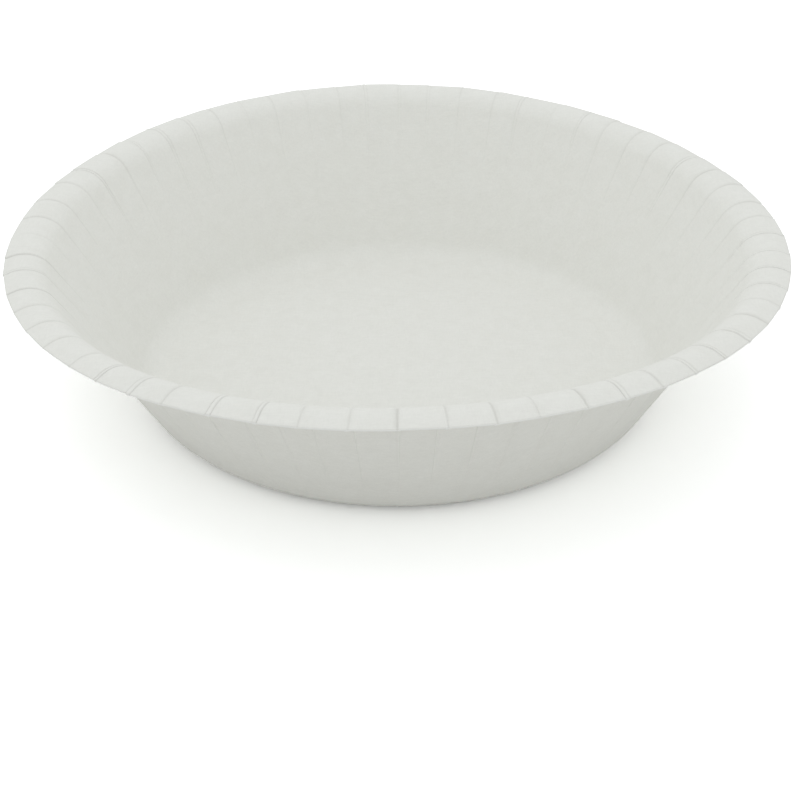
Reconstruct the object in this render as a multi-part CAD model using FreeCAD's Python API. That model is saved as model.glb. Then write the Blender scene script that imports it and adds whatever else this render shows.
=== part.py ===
"""A pressed paper bowl: one sheet of paperboard with a flat floor, a sloping wall, a brim that droops to a
plain cut edge, and a ring of small radial pleats.

The sheet is drawn as its section, the outline of the paper in a half plane through the axis. The paper
between two pleats is straight across, from a section on one side of the panel to the same section on the
other. A pleat is a fold pressed flat: on the upper side a narrow groove, on the underside a wider and
lower ridge. It starts from a point at the foot of the wall, has its full size from the shoulder out, and
ends in a small point past the cut edge.

The origin is in the middle of the underside of the floor, and +Z points up, out of the bowl.
"""

import FreeCAD, Part
import math
import os

# Driving dimensions, in millimetres and degrees.
rim_diameter = 190.0     # over the cut edge, at the sides of the pleats
height = 42.0            # from the underside of the floor to the crown of the brim
foot_diameter = 118.0    # the flat of the underside
paper = 0.45             # thickness of the sheet
corner_radius = 8.0      # inside the bowl, where the floor turns up into the wall
shoulder_radius = 7.0    # over the top, where the wall turns out into the brim
brim_reach = 4.4         # from the crown of the brim out to the cut edge
brim_droop = 21.0        # slope of the brim at its cut edge

pleat_count = 60
groove_width = 0.7       # on the upper side, at the cut edge
groove_depth = 0.3
ridge_width = 1.2        # on the underside, at the cut edge
ridge_height = 0.25
pleat_tip = 0.3          # how far the fold reaches past the cut edge

SEWING_TOLERANCE = 1e-6
ORIGIN = FreeCAD.Vector(0, 0, 0)
AXIS = FreeCAD.Vector(0, 0, 1)


def point(radius, level):
    """A point of the section, which is drawn in the half plane of +X and Z."""
    return FreeCAD.Vector(radius, 0, level)


def on_circle(centre, radius, angle):
    """The point of a circle at an angle that runs from straight up towards the rim, in radians."""
    return centre + point(radius * math.sin(angle), radius * math.cos(angle))


def arc(centre, radius, first, last):
    """The edge along a circle from one such angle to another."""
    middle = on_circle(centre, radius, (first + last) / 2)
    return Part.Arc(on_circle(centre, radius, first), middle, on_circle(centre, radius, last)).toShape()


def line(start, end):
    """The straight edge from one point to another."""
    return Part.LineSegment(start, end).toShape()


def start_of(edge):
    return edge.valueAt(edge.FirstParameter)


def end_of(edge):
    return edge.valueAt(edge.LastParameter)


def turned(shape, angle):
    """A copy of a shape, turned about the axis by an angle in degrees."""
    copy = shape.copy()
    copy.rotate(ORIGIN, AXIS, angle)
    return copy


# The wall follows the line that crosses from the corner's circle to the shoulder's and touches both.
corner_centre = point(foot_diameter / 2, paper + corner_radius)
shoulder_centre = point(rim_diameter / 2 - brim_reach, height - shoulder_radius)
span = shoulder_centre - corner_centre
wall_slope = math.atan2(span.z, span.x) + math.asin((corner_radius + shoulder_radius) / span.Length)

# The brim runs on straight from the shoulder, down its slope.
droop = math.radians(brim_droop)
down_brim = point(math.cos(droop), -math.sin(droop))
brim_length = (brim_reach - shoulder_radius * math.sin(droop)) / math.cos(droop)

pitch = 360.0 / pleat_count


def corner(depth):
    """The corner's arc on one side of the sheet, which lies at a depth below the upper side."""
    return arc(corner_centre, corner_radius + depth, math.pi, math.pi - wall_slope)


def outer_run(depth, tip):
    """The shoulder's arc and the brim's line at a depth below the upper side, the brim longer by a tip."""
    shoulder = arc(shoulder_centre, shoulder_radius - depth, -wall_slope, droop)
    brim = line(end_of(shoulder), end_of(shoulder) + down_brim * (brim_length + tip))
    return [shoulder, brim]


def flat(corners):
    """The flat face with these corners."""
    return Part.Face(Part.makePolygon(corners + corners[:1]))


def between(runs):
    """The straight-ruled faces from each run of edges to the next, edge by edge."""
    faces = []
    for run, following in zip(runs, runs[1:]):
        faces += [Part.makeRuledSurface(edge, other) for edge, other in zip(run, following)]
    return faces


def side(depth, fold_depth, fold_width):
    """One side of the sheet over a pleat at angle 0 and the panel that follows it, as its faces and the
    ends of its runs at the cut edge. The pleat's fold line is at its own depth below the upper side."""
    half_fold = math.degrees(fold_width / rim_diameter)
    plain = outer_run(depth, 0.0)
    fold = outer_run(fold_depth, pleat_tip)
    near, far, beyond = (
        [turned(edge, angle) for edge in plain] for angle in (-half_fold, half_fold, pitch - half_fold)
    )
    this_corner = corner(depth)
    next_corner = turned(this_corner, pitch)
    foot = end_of(this_corner)
    next_foot = end_of(next_corner)
    runs = [near, fold, far, beyond]
    tops = [start_of(run[0]) for run in runs]

    faces = between([[this_corner], [next_corner]]) + between(runs)
    faces.append(flat([foot, tops[0], tops[1]]))
    faces.append(flat([foot, tops[1], tops[2]]))
    faces.append(flat([foot, tops[2], tops[3], next_foot]))
    return faces, [end_of(run[-1]) for run in runs]


def sector():
    """The faces of the pleat at angle 0 and the panel that follows it: both sides and the cut edge."""
    upper, upper_ends = side(0.0, groove_depth, groove_width)
    under, under_ends = side(paper, paper + ridge_height, ridge_width)
    rungs = [[line(top, bottom)] for top, bottom in zip(upper_ends, under_ends)]
    return upper + under + between(rungs)


def floor(level):
    """One side of the floor, straight along the foot of each panel."""
    foot = point(foot_diameter / 2, level)
    return flat([FreeCAD.Rotation(AXIS, number * pitch).multVec(foot) for number in range(pleat_count)])


def bowl():
    """The whole sheet, sewn from its faces into one closed solid."""
    faces = [floor(0.0), floor(paper)]
    repeated = sector()
    for number in range(pleat_count):
        faces += [turned(face, number * pitch) for face in repeated]
    shell = Part.makeShell(faces)
    shell.sewShape(SEWING_TOLERANCE)
    return Part.makeSolid(shell)


os.makedirs("parts", exist_ok=True)
bowl().exportStep("parts/bowl.step")
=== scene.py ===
import math

import bpy
import numpy as np
from bpy.props import FloatProperty, FloatVectorProperty, IntProperty, PointerProperty
from mathutils import Matrix, Vector


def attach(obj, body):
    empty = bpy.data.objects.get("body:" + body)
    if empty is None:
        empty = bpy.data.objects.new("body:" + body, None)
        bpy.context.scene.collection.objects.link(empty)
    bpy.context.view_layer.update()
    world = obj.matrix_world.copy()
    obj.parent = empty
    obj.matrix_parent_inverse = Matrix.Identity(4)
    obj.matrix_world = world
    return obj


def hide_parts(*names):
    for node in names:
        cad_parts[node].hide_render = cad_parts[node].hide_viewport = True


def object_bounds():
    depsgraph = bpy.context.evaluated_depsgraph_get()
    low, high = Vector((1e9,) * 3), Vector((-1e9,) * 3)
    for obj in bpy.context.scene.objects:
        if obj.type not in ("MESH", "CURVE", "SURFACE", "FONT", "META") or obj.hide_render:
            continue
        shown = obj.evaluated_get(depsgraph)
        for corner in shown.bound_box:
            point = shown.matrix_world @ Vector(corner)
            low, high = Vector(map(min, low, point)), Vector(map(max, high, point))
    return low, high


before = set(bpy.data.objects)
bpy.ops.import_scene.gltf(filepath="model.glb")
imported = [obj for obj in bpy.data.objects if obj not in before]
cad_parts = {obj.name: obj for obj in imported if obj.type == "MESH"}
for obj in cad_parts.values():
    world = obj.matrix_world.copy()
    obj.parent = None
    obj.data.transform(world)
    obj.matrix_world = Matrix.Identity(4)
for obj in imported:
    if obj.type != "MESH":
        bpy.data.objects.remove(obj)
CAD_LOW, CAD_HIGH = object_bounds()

bl_info = {
    "name": "Pressed Paper Bowl",
    "version": (1, 0, 0),
    "blender": (4, 5, 0),
    "location": "3D View > Sidebar > Paper Bowl",
    "description": "Presses a paper bowl with its ring of pleats and sets it on a plain studio floor",
    "category": "Add Mesh",
}

MM = 0.001
SENSOR = 36.0                      # width of the camera's sensor, in millimetres
FLOOR_REACH = 25                   # half the side of the floor, in bowl widths
LAMP_SIDE = 1.3                    # side of the soft box, in metres
LAMP_PLACE = (-0.25, 0.3, 1.2)     # its middle, in metres: over the bowl, a little behind and to the left


# ---------------------------------------------------------------------------------------------------------
# Sizes and colours that a user would change
# ---------------------------------------------------------------------------------------------------------

def length(name, description, value):
    """A property that holds a length in metres."""
    return FloatProperty(name=name, description=description, default=value, precision=5,
                         subtype="DISTANCE", unit="LENGTH")


def angle(name, description, degrees):
    """A property that holds an angle."""
    return FloatProperty(name=name, description=description, default=math.radians(degrees),
                         subtype="ANGLE", unit="ROTATION")


def share(name, description, value):
    """A property that holds a plain factor."""
    return FloatProperty(name=name, description=description, default=value, min=0.0, max=1.0,
                         subtype="FACTOR")


def colour(name, description, value):
    """A property that holds a linear colour."""
    return FloatVectorProperty(name=name, description=description, default=value, min=0.0, max=2.0, size=3,
                               subtype="COLOR")


class BowlSizes(bpy.types.PropertyGroup):
    """The pressed sheet's own dimensions."""
    height: length("Height", "Underside of the floor to the crown of the brim", CAD_HIGH.z - CAD_LOW.z)
    rim_diameter: length("Rim diameter", "Over the cut edge, at the sides of the pleats", 190.0 * MM)
    foot_diameter: length("Foot diameter", "The flat of the underside", 118.0 * MM)
    paper: length("Paper", "Thickness of the sheet", 0.45 * MM)
    corner_radius: length("Corner radius", "Inside, where the floor turns up into the wall", 8.0 * MM)
    shoulder_radius: length("Shoulder radius", "Over the top, where the wall turns into the brim", 7.0 * MM)
    brim_reach: length("Brim reach", "From the crown of the brim out to the cut edge", 4.4 * MM)
    brim_droop: angle("Brim droop", "Slope of the brim at its cut edge", 21.0)


class PleatSizes(bpy.types.PropertyGroup):
    """The folds that take up the sheet's spare width, and how far one differs from the next."""
    count: IntProperty(name="Count", description="Pleats round the bowl", default=60, min=12)
    band: length("Band", "Width of the folded strip at the cut edge", 0.95 * MM)
    line: length("Line", "Width of a fine groove; a single pleat's open one is two to three times as wide",
                 0.26 * MM)
    depth: length("Depth", "Depth of the stronger groove", 0.28 * MM)
    rise: length("Rise", "How far a strip may stand above the sheet", 0.07 * MM)
    ridge: length("Ridge", "Height of the fold on the underside", 0.25 * MM)
    tip: length("Tip", "How far a strip may reach past the cut edge", 0.12 * MM)
    trim: length("Trim", "Typical unevenness of the cut edge from one panel to the next", 0.05 * MM)
    step: length("Step", "Typical step in the brim from one side of a pleat to the other", 0.08 * MM)
    doubled: share("Doubled", "Chance of a pleat to show both sides of its fold", 0.5)
    back_press: share("Back press", "How much shallower the grooves are at the back of the bowl", 0.6)
    seed: IntProperty(name="Seed", description="Picks the differences between the pleats", default=10136387)


class SheetUnevenness(bpy.types.PropertyGroup):
    """How far the pressed sheet is from true."""
    rim_sink: length("Rim sink", "How far the rim as a whole lies below true", 1.15 * MM)
    rim_bend: length("Rim bend", "Rise of the rim at front and back, and fall at the sides", 2.16 * MM)
    rim_spread: length("Rim spread", "Growth of the rim's radius at the sides, and loss at front and back",
                       0.92 * MM)
    bend_turn: angle("Bend turn", "Where the bend is highest, from the front round to the right", 10.1)
    rim_wave: length("Rim wave", "Shorter waves of the rim, up and down", 0.1 * MM)
    wall_wave: length("Wall wave", "Waves of the wall, in and out", 0.2 * MM)


class PaperFinish(bpy.types.PropertyGroup):
    """The look of the uncoated board."""
    paper: colour("Paper", "The board's own colour", (0.828, 0.827, 0.787))
    cloud: colour("Cloud", "The board where its fibres lie thinner", (0.812, 0.810, 0.767))
    # The next colour is painted shade, laid along the grooves of the folds and the fine lines underneath.
    crease: colour("Crease", "The board along a pressed fold", (0.45, 0.44, 0.40))
    # The next colour is a painted highlight, laid along the cut edge.
    cut_edge_highlight: colour("Cut edge", "The board's core, at the cut edge", (0.87, 0.87, 0.85))
    roughness: share("Roughness", "Roughness of the board", 0.82)
    specular: share("Specular", "Strength of the board's faint sheen", 0.28)
    # How strong that painted shade and that painted highlight are.
    crease_shade_strength: share("Crease tint", "How much of its colour the deepest crease has", 0.35)
    cut_highlight_strength: share("Cut tint", "How much of its colour the cut edge has", 0.8)
    relief: length("Relief", "Height of the fibres, clouds and press marks", 0.05 * MM)


class StudioSettings(bpy.types.PropertyGroup):
    """The floor, the light and the camera."""
    floor: colour("Floor", "The floor as the object sees it", (0.84, 0.835, 0.82))
    shown_floor: colour("Shown floor", "The floor as the camera sees it", (1.45, 1.45, 1.45))
    sky_tint: colour("Sky tint", "Colour of the even light all round", (0.983, 1.0, 1.006))
    sky: FloatProperty(name="Sky", description="Strength of the even light all round", default=0.85, min=0.0)
    lamp: FloatProperty(name="Lamp", description="Power of the soft box overhead, in watts", default=1.7,
                        min=0.0, unit="POWER")
    distance: FloatProperty(name="Distance", description="Camera to the middle of the rim, in rim radii",
                            default=4.25, min=1.5)
    elevation: angle("Elevation", "Height of the camera over the rim, seen from its middle", 25.86)
    azimuth: angle("Azimuth", "How far the camera stands round to the right of a pleat", 0.21)
    heading: angle("Heading", "How far to the right of the bowl's axis the camera looks", 0.064)
    pitch: angle("Pitch", "How far down the camera looks", 31.83)
    roll: angle("Roll", "Turn of the camera about its own axis", -0.18)
    lens: FloatProperty(name="Lens", description="Focal length of the camera in millimetres", default=73.13,
                        min=10.0)


# ---------------------------------------------------------------------------------------------------------
# The sheet's section
# ---------------------------------------------------------------------------------------------------------

# The rows of the grid. Those of a straight run are shares of its length.
FLOOR_ROWS = (0.15, 0.32, 0.5, 0.68, 0.84, 0.95, 1.0)
BRIM_ROWS = (0.4, 0.75, 0.96)
UPPER_ROWS, UNDER_ROWS = (8, 16, 16), (7, 14, 14)    # over the corner, the wall and the shoulder
EDGE_DEPTH = np.array([0.08, 0.3, 0.7, 0.92])        # over the cut edge: the depth below the upper side,
EDGE_REACH = np.array([0.05, 0.09, 0.09, 0.05])      # and the reach past the end, both in thicknesses


class Section:
    """Rows of points along the sheet's upper side, with the slope of the sheet at each.

    It starts on the axis. A straight run of length l at slope s moves by (l cos s, l sin s). A turn of
    radius a from slope p to slope q moves by (a (sin q - sin p), a (cos p - cos q)), where a is negative
    for a turn downwards. A row's place along the section is the length of the sheet up to it.
    """

    def __init__(self, level):
        self.radius, self.level = np.zeros(1), np.full(1, level)
        self.slope, self.along = np.zeros(1), np.zeros(1)

    def add(self, outwards, upwards, slope, lengths):
        self.radius = np.append(self.radius, self.radius[-1] + outwards)
        self.level = np.append(self.level, self.level[-1] + upwards)
        self.slope = np.append(self.slope, slope)
        self.along = np.append(self.along, self.along[-1] + lengths)

    def straight(self, shares, whole):
        slope = self.slope[-1]
        lengths = np.asarray(shares) * whole
        self.add(lengths * math.cos(slope), lengths * math.sin(slope), np.full(len(lengths), slope), lengths)

    def turn(self, rows, radius, last):
        first = self.slope[-1]
        slope = np.linspace(first, last, rows + 1)[1:]
        self.add(radius * (np.sin(slope) - math.sin(first)), radius * (math.cos(first) - np.cos(slope)),
                 slope, radius * (slope - first))


def press_section(sizes, corner_rows, wall_rows, shoulder_rows):
    """The section from the axis to the cut edge, and how far along it the wall's foot and the crown are.

    The wall is the line that crosses from the corner's circle to the shoulder's and touches both, so its
    slope and length come from those circles' centres.
    """
    foot = sizes.foot_diameter / 2
    across = sizes.rim_diameter / 2 - sizes.brim_reach - foot
    up = sizes.height - sizes.shoulder_radius - sizes.paper - sizes.corner_radius
    span = math.hypot(across, up)
    radii = sizes.corner_radius + sizes.shoulder_radius
    wall_slope = math.atan2(up, across) + math.asin(radii / span)
    wall = math.sqrt(span ** 2 - radii ** 2)
    brim_run = sizes.brim_reach - sizes.shoulder_radius * math.sin(sizes.brim_droop)
    brim = brim_run / math.cos(sizes.brim_droop)

    section = Section(sizes.paper)
    section.straight(FLOOR_ROWS, foot)
    section.turn(corner_rows, sizes.corner_radius, wall_slope)
    wall_foot = section.along[-1]
    section.straight(np.arange(1, wall_rows + 1) / wall_rows, wall)
    section.turn(shoulder_rows, -sizes.shoulder_radius, -sizes.brim_droop)
    crown = section.along[-1] - sizes.shoulder_radius * sizes.brim_droop
    section.straight(BRIM_ROWS, brim)
    return section, wall_foot, crown


# ---------------------------------------------------------------------------------------------------------
# The pleats
# ---------------------------------------------------------------------------------------------------------

# The columns of the grid over one pleat: a groove, the folded strip and another groove. Each column's place
# adds up shares of three half widths: the strip's, the left groove's and the right groove's.
STRIP_SHARE = np.array([-1, -1, -1, -1, -0.5, 0, 0.5, 1, 1, 1, 1])
LEFT_SHARE = np.array([-3, -1, 0, 1, 0.75, 0.5, 0.25, 0, 0, 0, 0])
RIGHT_SHARE = -LEFT_SHARE[::-1]
PLEAT_COLUMNS = np.arange(len(STRIP_SHARE))
LEFT_LINE, RIGHT_LINE = 2, 8         # the columns where the grooves are deepest
LEFT_SIDE, RIGHT_SIDE = 1, 9         # the columns outside them, where the ridge underneath has its fine lines
PANEL_SHARE = np.arange(1, 6) / 6    # the columns over the panel that follows, as shares of its width

# What each column over a pleat takes from the parts of the fold.
ON_LEFT_LINE = (PLEAT_COLUMNS == LEFT_LINE).astype(float)
ON_RIGHT_LINE = (PLEAT_COLUMNS == RIGHT_LINE).astype(float)
ON_LEFT_BANK = np.array([0, 1, 0, 0.5, 0, 0, 0, 0, 0, 0, 0])
ON_RIGHT_BANK = ON_LEFT_BANK[::-1]
ON_STRIP = np.array([0, 0, 0, 0.8, 1, 1, 1, 0.8, 0, 0, 0])
ON_RIDGE = np.array([0, 0.05, 0.45, 0.85, 1, 1, 1, 0.85, 0.45, 0.05, 0])
ON_LEFT_SIDE = (PLEAT_COLUMNS == LEFT_SIDE).astype(float)
ON_RIGHT_SIDE = (PLEAT_COLUMNS == RIGHT_SIDE).astype(float)
ON_TIP = np.array([0, 0, 0.15, 0.85, 1, 1, 1, 0.85, 0.15, 0, 0])

BANK = 0.3             # how deep a groove already is at its banks, as a share of its depth
UNDER_LINE = 0.2       # depth of the fine lines beside the ridge underneath, as a share of the grooves' depth
UNDER_SHADE = 0.45     # painted shade of those lines, as a share of the grooves' own
GROOVE_POWER = 2.8     # the grooves grow up the wall as this power of the fold's own growth
LIP_FADE = 0.1         # share of its depth that a groove loses from the crown to the cut edge
BACK_START = 0.3       # the grooves get shallower where y is more than this share of the radius
STEP_ON_WALL = 0.2     # share of the brim's steps that the wall has already
STEP_LEAD = 4 * MM     # how far inside the crown the rest of them begins
TIP_LENGTH = 1.2 * MM  # how much of the brim the tips and the trimming move
LONG_TIPS = 0.4        # chance of a pleat's strip to reach well past the cut edge
PLEAT_SHIFT = 0.035    # typical shift of a pleat from its even place, as a share of the pitch
FLEX_POWER = 1.5       # the rim's flex fades towards the foot as this power of the height


def smooth(value):
    """0 to 1 with flat ends: t squared times (3 - 2 t)."""
    t = np.clip(value, 0.0, 1.0)
    return t * t * (3 - 2 * t)


def draw_pleats(pleats):
    """What sets each pleat apart, as arrays of one number for each.

    On a single pleat one groove is the open side of the fold, wide and soft, and the other hardly shows. On
    a doubled one both are fine lines with a raised strip between them.
    """
    draw = np.random.default_rng(pleats.seed)
    count = pleats.count
    doubled = draw.random(count) < pleats.doubled
    open_left = draw.random(count) < 0.5

    def either(on_doubled, on_single):
        return np.where(doubled, draw.uniform(*on_doubled, count), draw.uniform(*on_single, count))

    def about_none(limit, typical):
        return np.clip(draw.normal(0.0, 1.0, count), -limit, limit) * typical

    towards_back = np.sin(np.arange(count) * 2 * math.pi / count)
    shallower = pleats.back_press * smooth((towards_back - BACK_START) / (1 - BACK_START))
    strong = either((0.5, 1.0), (0.35, 1.2)) * pleats.depth
    strong = strong * (1 - shallower)
    weak = strong * either((0.6, 1.0), (0.0, 0.12))
    long_tip = draw.random(count) < LONG_TIPS
    fold = {
        "left": np.where(open_left, strong, weak),
        "right": np.where(open_left, weak, strong),
        "open_left": open_left,
        "half": np.where(long_tip, 1.2, 1.0) * either((0.8, 1.05), (0.6, 0.8)) * pleats.band / 2,
        "rise": either((0.5, 1.0), (0.1, 0.4)) * pleats.rise,
        "tip": np.where(long_tip, draw.uniform(0.6, 1.0, count), draw.uniform(0.0, 0.2, count)) * pleats.tip,
        "ridge": either((0.7, 1.0), (0.3, 0.7)) * pleats.ridge,
        "under_left": np.where(open_left, draw.uniform(0.0, 0.35, count), draw.uniform(0.4, 1.0, count)),
        "under_right": np.where(open_left, draw.uniform(0.4, 1.0, count), draw.uniform(0.0, 0.35, count)),
        "shift": draw.normal(0.0, PLEAT_SHIFT, count),
        "lift_before": about_none(1.6, pleats.step),
        "lift_after": about_none(1.6, pleats.step),
        "trim_before": about_none(1.8, pleats.trim),
        "trim_after": about_none(1.8, pleats.trim),
    }
    wide = either((0.9, 1.2), (2.0, 3.0)) * pleats.line / 2
    narrow = either((0.9, 1.2), (0.6, 0.8)) * pleats.line / 2
    fold["left_width"] = np.where(open_left, wide, narrow)
    fold["right_width"] = np.where(open_left, narrow, wide)
    return fold


def spread(on_pleats, on_panels):
    """One row of the grid from values over the pleats and over the panels, a line of each for each pleat."""
    return np.concatenate([on_pleats, on_panels], axis=1).ravel()


def over(values, columns):
    """One row of the grid: each pleat's value times its columns' shares, and nothing over the panels."""
    return spread(values[:, None] * columns, np.zeros((len(values), len(PANEL_SHARE))))


def panels_between(before, after):
    """Values over the panels that run evenly from one side to the other."""
    return before * (1 - PANEL_SHARE) + after * PANEL_SHARE


def across_row(place):
    """Places over the pleats, and between them places that run evenly from one pleat to the next."""
    return spread(place, panels_between(place[:, -1:], np.roll(place[:, :1], -1, axis=0)))


def stepped(fold, name):
    """A value that jumps over each pleat, on the open side of its fold, and runs evenly over each panel."""
    before, behind = fold[name + "_before"][:, None], fold[name + "_after"][:, None]
    step_at = np.where(fold["open_left"], LEFT_LINE, RIGHT_LINE)[:, None]
    after = np.clip((PLEAT_COLUMNS - step_at) / 2 + 0.5, 0, 1)
    return spread(before * (1 - after) + behind * after, panels_between(behind, np.roll(before, -1, axis=0)))


# ---------------------------------------------------------------------------------------------------------
# The sheet
# ---------------------------------------------------------------------------------------------------------

class Rows:
    """The rows of the grid: out along the upper side, over the cut edge, and back along the underside.

    Each row has its point and slope on the section, its place along it, its depth below the upper side in
    thicknesses, and its reach past the section's end. How much of the fold it has is `grown`: none on the
    floor, all of it from the crown out. The grooves on the inside, `grooved`, fade faster down the wall than
    the fold itself, and lose a little towards the cut edge. From the crown to the cut edge `to_lip` runs
    evenly from 0 to 1, `to_edge` does so with flat ends from a little further in, and `at_tip` is the last
    short run of it.
    """

    def __init__(self, sizes):
        upper, wall_foot, crown = press_section(sizes, *UPPER_ROWS)
        under, *_ = press_section(sizes, *UNDER_ROWS)
        out = np.arange(1, len(upper.radius))
        edge = np.full(len(EDGE_DEPTH), -1)
        back = np.arange(len(under.radius) - 1, 0, -1)

        def outline(name):
            top, bottom = getattr(upper, name), getattr(under, name)
            return np.concatenate([top[out], top[edge], bottom[back]])[:, None]

        def from_edge(on_upper, on_edge, on_under):
            above, beneath = np.full(len(out), on_upper), np.full(len(back), on_under)
            return np.concatenate([above, on_edge, beneath])[:, None]

        self.radius, self.level = outline("radius"), outline("level")
        self.slope, self.along = outline("slope"), outline("along")
        self.below = from_edge(0.0, EDGE_DEPTH, 1.0)
        self.reach = from_edge(0.0, EDGE_REACH * sizes.paper, 0.0)

        end = upper.along[-1]
        self.grown = np.clip((self.along - wall_foot) / (crown - wall_foot), 0, 1)
        self.to_lip = np.clip((self.along - crown) / (end - crown), 0, 1)
        self.grooved = self.grown ** GROOVE_POWER * (1 - LIP_FADE * self.to_lip)
        self.to_edge = smooth((self.along - crown + STEP_LEAD) / (end - crown + STEP_LEAD))
        self.at_tip = np.clip((self.along - end) / TIP_LENGTH + 1, 0, 1)


def lay_columns(rows, fold, rim):
    """The angle of each point of the grid, and its angle from the nearest fold.

    A pleat's columns stand off its fold by their shares of the strip's and the grooves' half widths, and a
    panel's run evenly from one pleat to the next. The strip has 0.4 of its width at the foot of the wall and
    grows evenly to all of it at the crown. A groove has 0.45 of its width at the foot, grows with the square
    of the way up to 1.2 at the crown, and closes to 0.85 at the cut edge.
    """
    count = len(fold["shift"])
    pitch = 2 * math.pi / count
    fold_angle = (np.arange(count + 1) + np.append(fold["shift"], fold["shift"][0])) * pitch
    strip_width = (0.4 + 0.6 * rows.grown) / rim
    line_width = (0.45 + 0.75 * rows.grown ** 2 - 0.35 * rows.to_lip) / rim
    here, following = fold_angle[:-1, None], fold_angle[1:, None]
    near = spread(np.broadcast_to(here, (count, len(PLEAT_COLUMNS))), panels_between(here, following))
    strip = across_row(fold["half"][:, None] * STRIP_SHARE)
    line = across_row(fold["left_width"][:, None] * LEFT_SHARE + fold["right_width"][:, None] * RIGHT_SHARE)
    turn = near + strip * strip_width + line * line_width
    before, after = (np.repeat(angles, len(near) // count) for angles in (fold_angle[:-1], fold_angle[1:]))
    return turn, np.minimum(np.abs(turn - before), np.abs(after - turn))


def flex(rows, turn, sizes, uneven, seed):
    """How far the pressed sheet is off true at each point of the grid, up and outwards.

    The rim sinks, bends into a saddle, which is the cosine of twice the angle, and spreads with it, and all
    of that fades with the height towards the foot, which stays flat and true. Slow waves are added: cosines
    of 3 to 8 times the angle, each with its own phase, and smaller the shorter it is. Where h is the share
    of the whole height, the wall's waves have the strength 2 h (1 - 0.7 h).
    """
    draw = np.random.default_rng(seed)
    waves = np.arange(3, 9)[:, None, None]
    phases = draw.uniform(0, 2 * math.pi, (2, len(waves), 1, 1))
    weights = draw.normal(0, 1, (2, len(waves), 1, 1)) / (waves - 1)
    rim_waves, wall_waves = (weights * np.cos(waves * turn + phases)).sum(axis=1)
    high = np.clip((rows.level - sizes.paper) / (sizes.height - sizes.paper), 0, 1)
    from_front = turn + math.pi / 2 - uneven.bend_turn
    saddle = np.cos(2 * from_front)
    upwards = high ** FLEX_POWER * (uneven.rim_bend * saddle - uneven.rim_sink + uneven.rim_wave * rim_waves)
    outwards = (2 * high * (1 - 0.7 * high) * uneven.wall_wave * wall_waves
                - high ** FLEX_POWER * uneven.rim_spread * saddle)
    return upwards, outwards


def press_bowl(sizes, pleats, uneven):
    """The whole sheet as a closed grid of rows along its outline and columns round the axis.

    A row is a place on the outline of the section. A column is an angle, and the columns crowd together over
    each pleat. A point is the section's point at that row, moved along the sheet's normal by the pleat's own
    height at that column, and on the underside by the sheet's thickness, then turned about the axis to the
    column's angle. Between two pleats the sheet is a little flatter than its circle: its radius there is the
    radius at the pleats times the square root of cos(half pitch) / cos(angle from the middle of the panel).
    """
    rows = Rows(sizes)
    fold = draw_pleats(pleats)
    rim = sizes.rim_diameter / 2
    turn, from_fold = lay_columns(rows, fold, rim)
    half_pitch = math.pi / pleats.count
    straight_across = np.sqrt(math.cos(half_pitch) / np.cos(half_pitch - from_fold))

    # The fold's height over the sheet, on the upper side and on the underside.
    grooves = (over(fold["left"], ON_LEFT_LINE + BANK * ON_LEFT_BANK)
               + over(fold["right"], ON_RIGHT_LINE + BANK * ON_RIGHT_BANK))
    under_lines = over(fold["under_left"], ON_LEFT_SIDE) + over(fold["under_right"], ON_RIGHT_SIDE)
    top_height = over(fold["rise"], ON_STRIP) - grooves
    under_height = over(fold["ridge"], ON_RIDGE) - UNDER_LINE * pleats.depth * under_lines
    fold_height = (1 - rows.below) * rows.grooved * top_height - rows.below * rows.grown * under_height

    # The step in the brim and in its cut edge lies on the open side of the fold.
    lift = stepped(fold, "lift") * (STEP_ON_WALL * rows.grown ** 2 + (1 - STEP_ON_WALL) * rows.to_edge)
    moved = fold_height + lift - rows.below * sizes.paper
    past = rows.reach + rows.at_tip * (over(fold["tip"], ON_TIP) + stepped(fold, "trim"))

    rise, bulge = flex(rows, turn, sizes, uneven, pleats.seed + 1)
    outwards, upwards = -np.sin(rows.slope), np.cos(rows.slope)
    radius = (rows.radius + moved * outwards + past * upwards + bulge) * straight_across
    level = rows.level + moved * upwards - past * outwards + rise
    points = np.stack([radius * np.cos(turn), radius * np.sin(turn), level], axis=-1)

    # Painted shade: where the crease colour goes, along the grooves on the upper side and along the fine
    # lines underneath.
    crease = rows.grooved * (1 - rows.below) * grooves / pleats.depth
    crease = crease + rows.grown * rows.below * UNDER_SHADE * under_lines
    # The rows over the cut edge, where the painted highlight goes.
    cut = np.broadcast_to(np.where((rows.below > 0) & (rows.below < 1), 1.0, 0.0), turn.shape)
    pressed = np.broadcast_to(rows.grown, turn.shape)
    streaks = np.stack([rim * np.cos(turn), rim * np.sin(turn), rows.along + 0 * turn], axis=-1)
    return points, {"crease": crease, "cut": cut, "pressed": pressed}, streaks


# ---------------------------------------------------------------------------------------------------------
# Meshes and materials
# ---------------------------------------------------------------------------------------------------------

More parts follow.
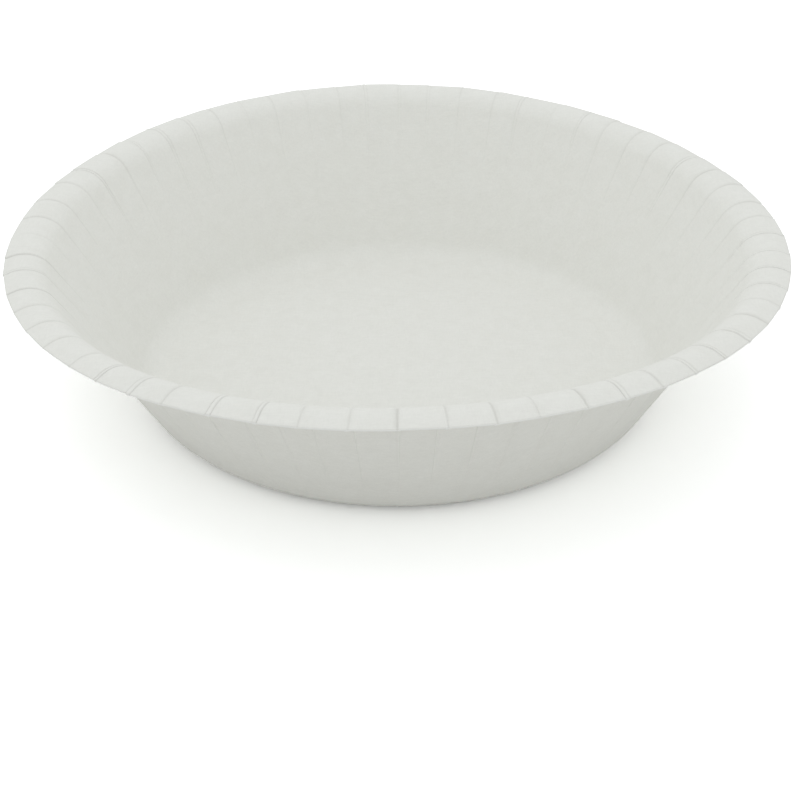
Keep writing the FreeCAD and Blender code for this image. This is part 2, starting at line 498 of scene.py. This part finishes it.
def closed_grid(name, points, first_pole, last_pole, values, vectors):
    """A mesh from a grid that closes on itself column to column, with a pole before its first row and one
    after its last. The faces' corners are worked out as whole arrays from the rows' and columns' numbers."""
    rows, columns, _ = points.shape
    row, column = np.meshgrid(np.arange(rows - 1), np.arange(columns), indexing="ij")
    following = (column + 1) % columns
    quads = np.stack([row * columns + column, (row + 1) * columns + column,
                      (row + 1) * columns + following, row * columns + following], axis=-1).reshape(-1, 4)
    ring = np.arange(columns)
    next_ring = (ring + 1) % columns
    last_row = (rows - 1) * columns
    poles = rows * columns, rows * columns + 1
    first_fan = np.stack([np.full(columns, poles[0]), ring, next_ring], axis=-1)
    last_fan = np.stack([last_row + next_ring, last_row + ring, np.full(columns, poles[1])], axis=-1)
    corners = np.concatenate([quads.ravel(), first_fan.ravel(), last_fan.ravel()])
    sizes = np.concatenate([np.full(len(quads), 4), np.full(2 * columns, 3)])

    mesh = bpy.data.meshes.new(name)
    mesh.vertices.add(rows * columns + 2)
    mesh.vertices.foreach_set("co", np.concatenate([points.reshape(-1, 3), [first_pole, last_pole]]).ravel())
    mesh.loops.add(len(corners))
    mesh.loops.foreach_set("vertex_index", corners)
    mesh.polygons.add(len(sizes))
    mesh.polygons.foreach_set("loop_start", np.concatenate([[0], np.cumsum(sizes)[:-1]]))
    mesh.polygons.foreach_set("use_smooth", np.ones(len(sizes), bool))
    for key, field in values.items():
        attribute = mesh.attributes.new(key, "FLOAT", "POINT")
        attribute.data.foreach_set("value", np.append(field.ravel(), [0.0, 0.0]).astype(np.float32))
    for key, field in vectors.items():
        attribute = mesh.attributes.new(key, "FLOAT_VECTOR", "POINT")
        attribute.data.foreach_set("vector", np.append(field.ravel(), np.zeros(6)).astype(np.float32))
    mesh.update(calc_edges=True)
    if mesh.validate():
        raise RuntimeError(f"the grid of {name} has faces that can't be")
    return mesh


def add_node(tree, kind, settings=None, **inputs):
    """A new node in a material's tree. An input is a constant, or the output socket that feeds it."""
    node = tree.nodes.new(kind)
    for key, value in (settings or {}).items():
        setattr(node, key, value)
    for key, value in inputs.items():
        socket = node.inputs[int(key[1:])] if key[0] == "i" and key[1:].isdigit() else node.inputs[key]
        if isinstance(value, bpy.types.NodeSocket):
            tree.links.new(value, socket)
        else:
            socket.default_value = value
    return node


def math_node(tree, operation, first, second, clamp=False):
    """The output of a Math node."""
    return add_node(tree, "ShaderNodeMath", {"operation": operation, "use_clamp": clamp}, i0=first,
                    i1=second).outputs[0]


def noise(tree, place, scale, detail, roughness, distortion):
    """A noise pattern, from 0 to 1."""
    node = add_node(tree, "ShaderNodeTexNoise", None, Vector=place, Scale=scale, Detail=detail,
                    Roughness=roughness, Distortion=distortion)
    return node.outputs["Fac"]


def mix_colour(tree, factor, first, second, blend="MIX"):
    """The output of a colour Mix node."""
    node = add_node(tree, "ShaderNodeMix", {"data_type": "RGBA", "blend_type": blend}, i0=factor)
    for socket, value in ((node.inputs[6], first), (node.inputs[7], second)):
        if isinstance(value, bpy.types.NodeSocket):
            tree.links.new(value, socket)
        else:
            socket.default_value = (*value, 1.0)
    return node.outputs[2]


def remap(tree, value, low, high, new_low, new_high):
    """A value moved from one range to another, and held inside the new one."""
    node = add_node(tree, "ShaderNodeMapRange", None, Value=value)
    for key, number in (("From Min", low), ("From Max", high), ("To Min", new_low), ("To Max", new_high)):
        node.inputs[key].default_value = number
    return node.outputs["Result"]


def new_material(name):
    """A material with an empty tree and its output node."""
    material = bpy.data.materials.new(name)
    material.use_nodes = True
    tree = material.node_tree
    tree.nodes.clear()
    return material, tree, tree.nodes.new("ShaderNodeOutputMaterial")


# How many features of each of the board's patterns there are to a metre.
CLOUDS = 230.0
FIBRES_ALONG_X = (420.0, 2400.0, 1400.0)
FIBRES_ALONG_Y = (2300.0, 460.0, 1500.0)
PRESS_MARKS = (1100.0, 1100.0, 60.0)    # the first two round the bowl, the third down the wall

CLOUD_RANGE = (0.35, 0.68)    # the part of the clouds' noise that goes from one colour to the other
FIBRE_RANGE = (0.3, 0.7)      # the part of the fibres' noise that changes the grain and the roughness
GRAIN = (0.955, 1.03)         # brightness between the fibres and on them
ROUGH_SPREAD = 0.07           # how far the roughness goes either way
CLOUD_HEIGHT = 1.2            # height of the clouds, as a share of the fibres'
MARK_HEIGHT = 0.9             # height of the press marks, as a share of the fibres'
BUMP_STRENGTH = 0.55


def paperboard(finish):
    """Uncoated board: soft clouds where the fibres lie thicker or thinner, fine fibres that cross each
    other, faint pressed streaks down the pleated wall, painted shade along the grooves of the folds, and a
    painted highlight along the cut edge."""
    material, tree, output = new_material("uncoated_paperboard")
    place = add_node(tree, "ShaderNodeTexCoord").outputs["Object"]
    crease = add_node(tree, "ShaderNodeAttribute", {"attribute_name": "crease"}).outputs["Fac"]
    cut = add_node(tree, "ShaderNodeAttribute", {"attribute_name": "cut"}).outputs["Fac"]
    pressed = add_node(tree, "ShaderNodeAttribute", {"attribute_name": "pressed"}).outputs["Fac"]
    down_the_wall = add_node(tree, "ShaderNodeAttribute", {"attribute_name": "streaks"}).outputs["Vector"]

    clouds = noise(tree, place, CLOUDS, 5.0, 0.55, 0.4)
    along_x = add_node(tree, "ShaderNodeMapping", None, Vector=place, Scale=FIBRES_ALONG_X)
    along_y = add_node(tree, "ShaderNodeMapping", None, Vector=place, Scale=FIBRES_ALONG_Y)
    fibres = math_node(tree, "ADD", noise(tree, along_x.outputs[0], 1.0, 4.0, 0.6, 0.8),
                       noise(tree, along_y.outputs[0], 1.0, 4.0, 0.6, 0.8))
    fibres = math_node(tree, "MULTIPLY", fibres, 0.5)
    stretched = add_node(tree, "ShaderNodeMapping", None, Vector=down_the_wall, Scale=PRESS_MARKS)
    streaks = noise(tree, stretched.outputs[0], 1.0, 3.0, 0.6, 0.0)

    base = mix_colour(tree, remap(tree, clouds, *CLOUD_RANGE, 0.0, 1.0), finish.cloud[:], finish.paper[:])
    base = mix_colour(tree, 1.0, base, remap(tree, fibres, *FIBRE_RANGE, *GRAIN), "MULTIPLY")
    # Painted shade: the crease colour darkens the grooves and the fine lines underneath.
    in_crease_shade = math_node(tree, "MULTIPLY", crease, finish.crease_shade_strength, True)
    base = mix_colour(tree, in_crease_shade, base, finish.crease[:])
    # Painted highlight: a lighter colour along the cut edge.
    on_cut_highlight = math_node(tree, "MULTIPLY", cut, finish.cut_highlight_strength)
    base = mix_colour(tree, on_cut_highlight, base, finish.cut_edge_highlight[:])

    marks = math_node(tree, "MULTIPLY", math_node(tree, "MULTIPLY", streaks, pressed), MARK_HEIGHT)
    height = math_node(tree, "ADD", fibres, marks)
    height = math_node(tree, "ADD", height, math_node(tree, "MULTIPLY", clouds, CLOUD_HEIGHT))
    bump = add_node(tree, "ShaderNodeBump", None, Height=height, Strength=BUMP_STRENGTH,
                    Distance=finish.relief)
    rough = remap(tree, fibres, *FIBRE_RANGE, finish.roughness - ROUGH_SPREAD,
                  finish.roughness + ROUGH_SPREAD)

    shader = add_node(tree, "ShaderNodeBsdfPrincipled", None, Roughness=rough, Normal=bump.outputs[0])
    tree.links.new(base, shader.inputs["Base Color"])
    shader.inputs["Specular IOR Level"].default_value = finish.specular
    tree.links.new(shader.outputs[0], output.inputs["Surface"])
    return material


def studio_floor(studio):
    """A matte floor that the camera sees as white, apart from the object's own shadow."""
    material, tree, output = new_material("studio_floor")
    rays = add_node(tree, "ShaderNodeLightPath")
    seen = math_node(tree, "ADD", rays.outputs["Is Camera Ray"], rays.outputs["Is Glossy Ray"], True)
    seen = math_node(tree, "ADD", seen, rays.outputs["Is Transmission Ray"], True)
    tint = mix_colour(tree, seen, studio.floor[:], studio.shown_floor[:])
    shader = add_node(tree, "ShaderNodeBsdfDiffuse", None, Color=tint)
    tree.links.new(shader.outputs[0], output.inputs["Surface"])
    return material


def place_mesh(name, mesh, material):
    """An object at the origin that shows a mesh in one material."""
    mesh.materials.append(material)
    piece = bpy.data.objects.new(name, mesh)
    bpy.context.scene.collection.objects.link(piece)
    return piece


# ---------------------------------------------------------------------------------------------------------
# Operators
# ---------------------------------------------------------------------------------------------------------

class OBJECT_OT_press_paper_bowl(bpy.types.Operator):
    """Press the bowl from its sheet: floor, wall, shoulder, brim and the ring of pleats"""
    bl_idname = "object.press_paper_bowl"
    bl_label = "Press the Bowl"

    def execute(self, context):
        scene = context.scene
        sizes = scene.bowl_sizes
        points, values, streaks = press_bowl(sizes, scene.pleat_sizes, scene.sheet_unevenness)
        first_pole, last_pole = (0, 0, sizes.paper), (0, 0, 0)
        mesh = closed_grid("pressed_bowl", points, first_pole, last_pole, values, {"streaks": streaks})
        bowl = place_mesh("pressed_bowl", mesh, paperboard(scene.paper_finish))
        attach(bowl, "root")
        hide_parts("bowl")
        return {"FINISHED"}


class SCENE_OT_light_paper_bowl(bpy.types.Operator):
    """Set up the plain floor, the soft light and the camera"""
    bl_idname = "scene.light_paper_bowl"
    bl_label = "Floor, Light and Camera"

    def execute(self, context):
        studio = context.scene.studio_settings
        self.lay_floor(studio)
        self.hang_lamp(studio)
        self.light_sky(context.scene, studio)
        self.aim_camera(context.scene, studio)
        context.scene.view_settings.view_transform = "Standard"
        return {"FINISHED"}

    def lay_floor(self, studio):
        """A flat square under the foot, many times the bowl's width."""
        reach = FLOOR_REACH * (CAD_HIGH.x - CAD_LOW.x)
        corners = np.array([(-1, -1, 0), (1, -1, 0), (1, 1, 0), (-1, 1, 0)]) * reach
        mesh = bpy.data.meshes.new("floor")
        mesh.from_pydata(corners.tolist(), [], [(0, 1, 2, 3)])
        floor = place_mesh("floor", mesh, studio_floor(studio))

    def hang_lamp(self, studio):
        """One wide soft box over the bowl, a little behind it and to its left."""
        lamp = bpy.data.lights.new("soft_box", "AREA")
        lamp.shape = "SQUARE"
        lamp.size = LAMP_SIDE
        lamp.energy = studio.lamp
        holder = bpy.data.objects.new("soft_box", lamp)
        holder.location = LAMP_PLACE
        holder.rotation_euler = (-holder.location).to_track_quat("-Z", "Y").to_euler()
        bpy.context.scene.collection.objects.link(holder)

    def light_sky(self, scene, studio):
        """Even light from all round, which the camera sees as white."""
        world = bpy.data.worlds.new("studio")
        world.use_nodes = True
        tree = world.node_tree
        tree.nodes.clear()
        rays = add_node(tree, "ShaderNodeLightPath")
        seen = math_node(tree, "ADD", rays.outputs["Is Camera Ray"],
                         rays.outputs["Is Transmission Ray"], True)
        strength = remap(tree, seen, 0.0, 1.0, studio.sky, 1.0)
        tint = mix_colour(tree, seen, studio.sky_tint[:], (1.0, 1.0, 1.0))
        light = add_node(tree, "ShaderNodeBackground", None, Color=tint, Strength=strength)
        output = tree.nodes.new("ShaderNodeOutputWorld")
        tree.links.new(light.outputs[0], output.inputs["Surface"])
        scene.world = world

    def aim_camera(self, scene, studio):
        """The camera stands at its elevation over the middle of the rim's cut edge, looks along +Y and down
        by its pitch, is rolled about its own axis, and the whole is turned about Z by its azimuth."""
        sizes = scene.bowl_sizes
        rim = sizes.rim_diameter / 2
        drop = rim_drop(sizes)
        away = studio.distance * rim
        place = Vector((0, -away * math.cos(studio.elevation), away * math.sin(studio.elevation)))
        place.z += sizes.height - drop - scene.sheet_unevenness.rim_sink
        tilt = (Matrix.Rotation(-studio.heading, 4, "Z") @ Matrix.Rotation(math.pi / 2 - studio.pitch, 4, "X")
                @ Matrix.Rotation(studio.roll, 4, "Z"))
        camera = bpy.data.objects.new("camera", bpy.data.cameras.new("camera"))
        camera.matrix_world = Matrix.Rotation(studio.azimuth, 4, "Z") @ Matrix.Translation(place) @ tilt
        camera.data.sensor_width = SENSOR
        camera.data.lens = studio.lens
        camera.data.clip_start = 0.01
        scene.collection.objects.link(camera)
        scene.camera = camera


def rim_drop(sizes):
    """How far the cut edge lies below the crown: down the shoulder's arc and then down the brim."""
    arc_drop = sizes.shoulder_radius * (1 - math.cos(sizes.brim_droop))
    run = sizes.brim_reach - sizes.shoulder_radius * math.sin(sizes.brim_droop)
    return arc_drop + run * math.tan(sizes.brim_droop)


class VIEW3D_PT_paper_bowl(bpy.types.Panel):
    """The steps in order, with their sizes and colours"""
    bl_idname = "VIEW3D_PT_paper_bowl"
    bl_label = "Pressed Paper Bowl"
    bl_space_type = "VIEW_3D"
    bl_region_type = "UI"
    bl_category = "Paper Bowl"

    def draw(self, context):
        for operator, groups in STEPS:
            self.layout.operator(operator.bl_idname)
            for name in groups:
                settings = getattr(context.scene, name)
                box = self.layout.box()
                for key in settings.__annotations__:
                    box.prop(settings, key)


SETTINGS = {
    "bowl_sizes": BowlSizes,
    "pleat_sizes": PleatSizes,
    "sheet_unevenness": SheetUnevenness,
    "paper_finish": PaperFinish,
    "studio_settings": StudioSettings,
}
STEPS = (
    (OBJECT_OT_press_paper_bowl, ("bowl_sizes", "pleat_sizes", "sheet_unevenness", "paper_finish")),
    (SCENE_OT_light_paper_bowl, ("studio_settings",)),
)
CLASSES = (*SETTINGS.values(), *(operator for operator, _ in STEPS), VIEW3D_PT_paper_bowl)


def register():
    for cls in CLASSES:
        bpy.utils.register_class(cls)
    for name, cls in SETTINGS.items():
        setattr(bpy.types.Scene, name, PointerProperty(type=cls))


def unregister():
    for name in SETTINGS:
        delattr(bpy.types.Scene, name)
    for cls in reversed(CLASSES):
        bpy.utils.unregister_class(cls)


def main():
    register()
    bpy.ops.object.press_paper_bowl()
    bpy.ops.scene.light_paper_bowl()


if __name__ == "__main__":
    main()
